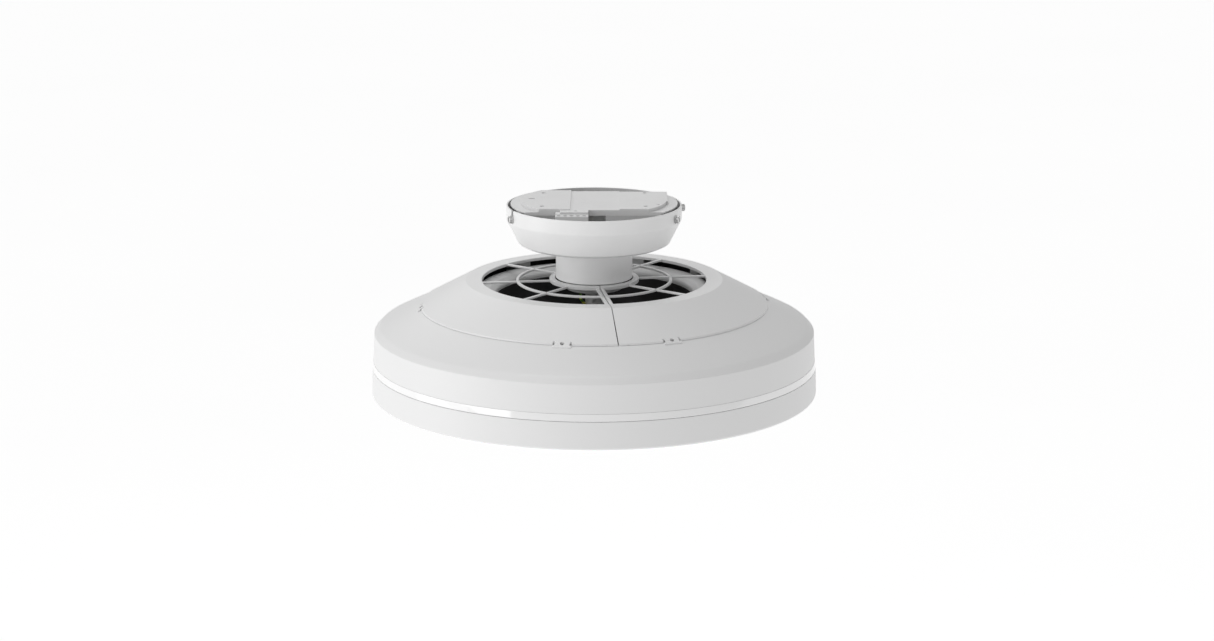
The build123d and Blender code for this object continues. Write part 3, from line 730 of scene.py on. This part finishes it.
def blade(angle):
    """One blade, lofted from the hub outwards; its tip corners are rounded off."""
    shape = bmesh.new()
    rows = []
    for step in range(rib_count + 1):
        share = step / rib_count
        distance = blade_root + (blade_tip - blade_root) * share
        chord = 46.0 + 14.0 * math.sin(math.pi / 2 * share)
        if share > 0.9:
            chord *= 1.0 - 2.2 * (share - 0.9)
        pitch = math.radians(34.0 - 10.0 * share)
        thick = 1.5 - 0.5 * share
        row = []
        for corner in range(rib_corners):
            swing = 2 * math.pi * corner / rib_corners
            along = chord / 2 * math.cos(swing)
            camber = 1.1 * (1 - (2 * along / chord) ** 2) - 0.6
            up = thick * math.copysign(abs(math.sin(swing)) ** 0.7, math.sin(swing)) + camber
            row.append(shape.verts.new((
                distance * mm, (along * math.cos(pitch) - up * math.sin(pitch)) * mm,
                (blade_height + along * math.sin(pitch) + up * math.cos(pitch)) * mm)))
        rows.append(row)
    for row, following in zip(rows, rows[1:]):
        for number in range(rib_corners):
            then = (number + 1) % rib_corners
            shape.faces.new((row[number], row[then], following[then], following[number]))
    shape.faces.new(rows[0])
    shape.faces.new(list(reversed(rows[-1])))
    bmesh.ops.recalc_face_normals(shape, faces=shape.faces)
    return moved(shape, about_z(angle))


hub_outline = rounded([(17.0, -133.0, 0.5), (45.6, -133.0, 2.5), (45.6, -174.0, 0.5),
                       (42.1, -174.0, 0.4), (42.1, -134.9, 0.5), (17.0, -134.9, 0.3)])
blades = [blade(360.0 * number / blade_count) for number in range(blade_count)]
piece("impeller_wheel", [turned(hub_outline, 128)] + blades, black_resin_and_painted_shade, "rotor", "impeller")


# ---- Motor
# An outer-rotor motor: laminated stator with copper coils on the fixed shaft, ferrite magnets in a
# black steel can, two sealed ball bearings, and a metal hub and nut at the shaft's lower end.

can_paint = coated_steel("can_paint", 0.03)
bearing_metal = plated_steel("bearing_metal", 0.55)
copper = Finish("copper_wire", Metallic=1.0)
strands = copper.add("ShaderNodeTexWave", {"bands_direction": "Z"},
                     {"Vector": copper.place, "Scale": 450.0, "Distortion": 0.6})
dark_copper, bright_copper = (0.30, 0.09, 0.03, 1.0), (0.72, 0.30, 0.12, 1.0)
copper.surface(Base_Color=copper.mix(strands, dark_copper, bright_copper),
               Roughness=0.3 + strands * 0.15, Normal=copper.bump(strands, 0.2 * mm, 0.7))
iron = Finish("stacked_iron", Metallic=1.0)
sheets = iron.add("ShaderNodeTexWave", {"bands_direction": "Z"},
                  {"Vector": iron.place, "Scale": 600.0})
iron.surface(Base_Color=iron.mix(sheets, tone(0.10), tone(0.26)), Roughness=0.45 + sheets * 0.1,
             Normal=iron.bump(sheets, 0.1 * mm, 0.6))
ferrite = moulded_plastic("ferrite", 0.05, 0.6, drift=0.25)
for node in ("rotor_shell", "rotor_end_plate"):
    dress(node, can_paint, 0.3)
for node in ("upper_bearing", "lower_bearing"):
    dress(node, bearing_metal, 0.2)
dress("motor_shaft", bearing_metal)
dress("stator_core", iron.material)
dress("stator_windings", copper.material, 1.6)
dress("rotor_magnets", ferrite, 0.3)
dress("shaft_nut", zinc_plate, 0.4)
dress("guard_hub", bearing_metal, 0.4)


# ---- Outlet
# A white flared ring and a flat grille of spokes and rings under the blades, with a cap over the
# nut. The air leaves here, inside the ring of light.

outlet_outline = rounded([(117.0, -201.3, 0.3), (148.0, -201.3, 0.3), (148.0, -203.3, 0.3),
                          (120.6, -203.3, 2.0), (140.8, -222.2, 0.6), (138.6, -223.0, 0.8),
                          (117.0, -202.8, 0.8)])
piece("outlet_flare", [turned(outlet_outline, 240)], shell_resin, "body", "outlet_ring")
dress("outlet_guard", shell_resin, 0.5)
dress("guard_screws", zinc_plate, 0.2)
cap_outline = rounded([
    (40.0, -204.4, 0.4), (39.4, -209.0, 6.0), (34.6, -213.4, 10.0), (0.0, -216.4, 0),
    (0.0, -214.4, 0), (33.6, -211.6, 8.0), (38.0, -204.4, 0.3)])
piece("outlet_cap", [turned(cap_outline, 128)], shell_resin, "body", "centre_cap")


# ---- Light
# A white steel channel carries an aluminium board with three rings of phosphor-coated chips. The
# lens hides them and spreads their light.

pan_coat = coated_steel("pan_coat", 0.78)
board_face = Finish("board_face", Roughness=0.4)
traces = board_face.add("ShaderNodeTexVoronoi", {"feature": "DISTANCE_TO_EDGE"},
                        {"Vector": board_face.place, "Scale": 60.0})
board_face.surface(Base_Color=board_face.mix(board_face.ramp(traces, 0.02, 0.05), tone(0.62),
                                             tone(0.82)))
phosphor = Finish("phosphor", Roughness=0.3)
phosphor.surface(Base_Color=phosphor.mix(phosphor.noise(700.0), (0.85, 0.70, 0.22, 1.0),
                                         (0.95, 0.85, 0.40, 1.0)))
dress("light_pan", pan_coat, 0.3)
dress("led_board", board_face.material)
dress("led_chips", phosphor.material, 0.2)


# ---- Electronics
# A driver for the light and a controller for the fan, each in a grey case on the main frame's
# plate, with green laminate boards and black capacitors and a coil.

laminate = Finish("laminate", Roughness=0.35)
copper_lines = laminate.add("ShaderNodeTexBrick", {}, {
    "Vector": laminate.place, "Scale": 60.0, "Mortar Size": 0.03,
    "Color1": (0.015, 0.10, 0.04, 1.0), "Color2": (0.02, 0.13, 0.05, 1.0),
    "Mortar": (0.06, 0.22, 0.10, 1.0)})
laminate.surface(Base_Color=copper_lines)
for node in ("driver_case", "driver_lid", "controller_case"):
    dress(node, grey_resin, 0.4)
for node in ("driver_board", "receiver_board"):
    dress(node, laminate.material)
dress("driver_parts", black_resin_and_painted_shade, 0.4)
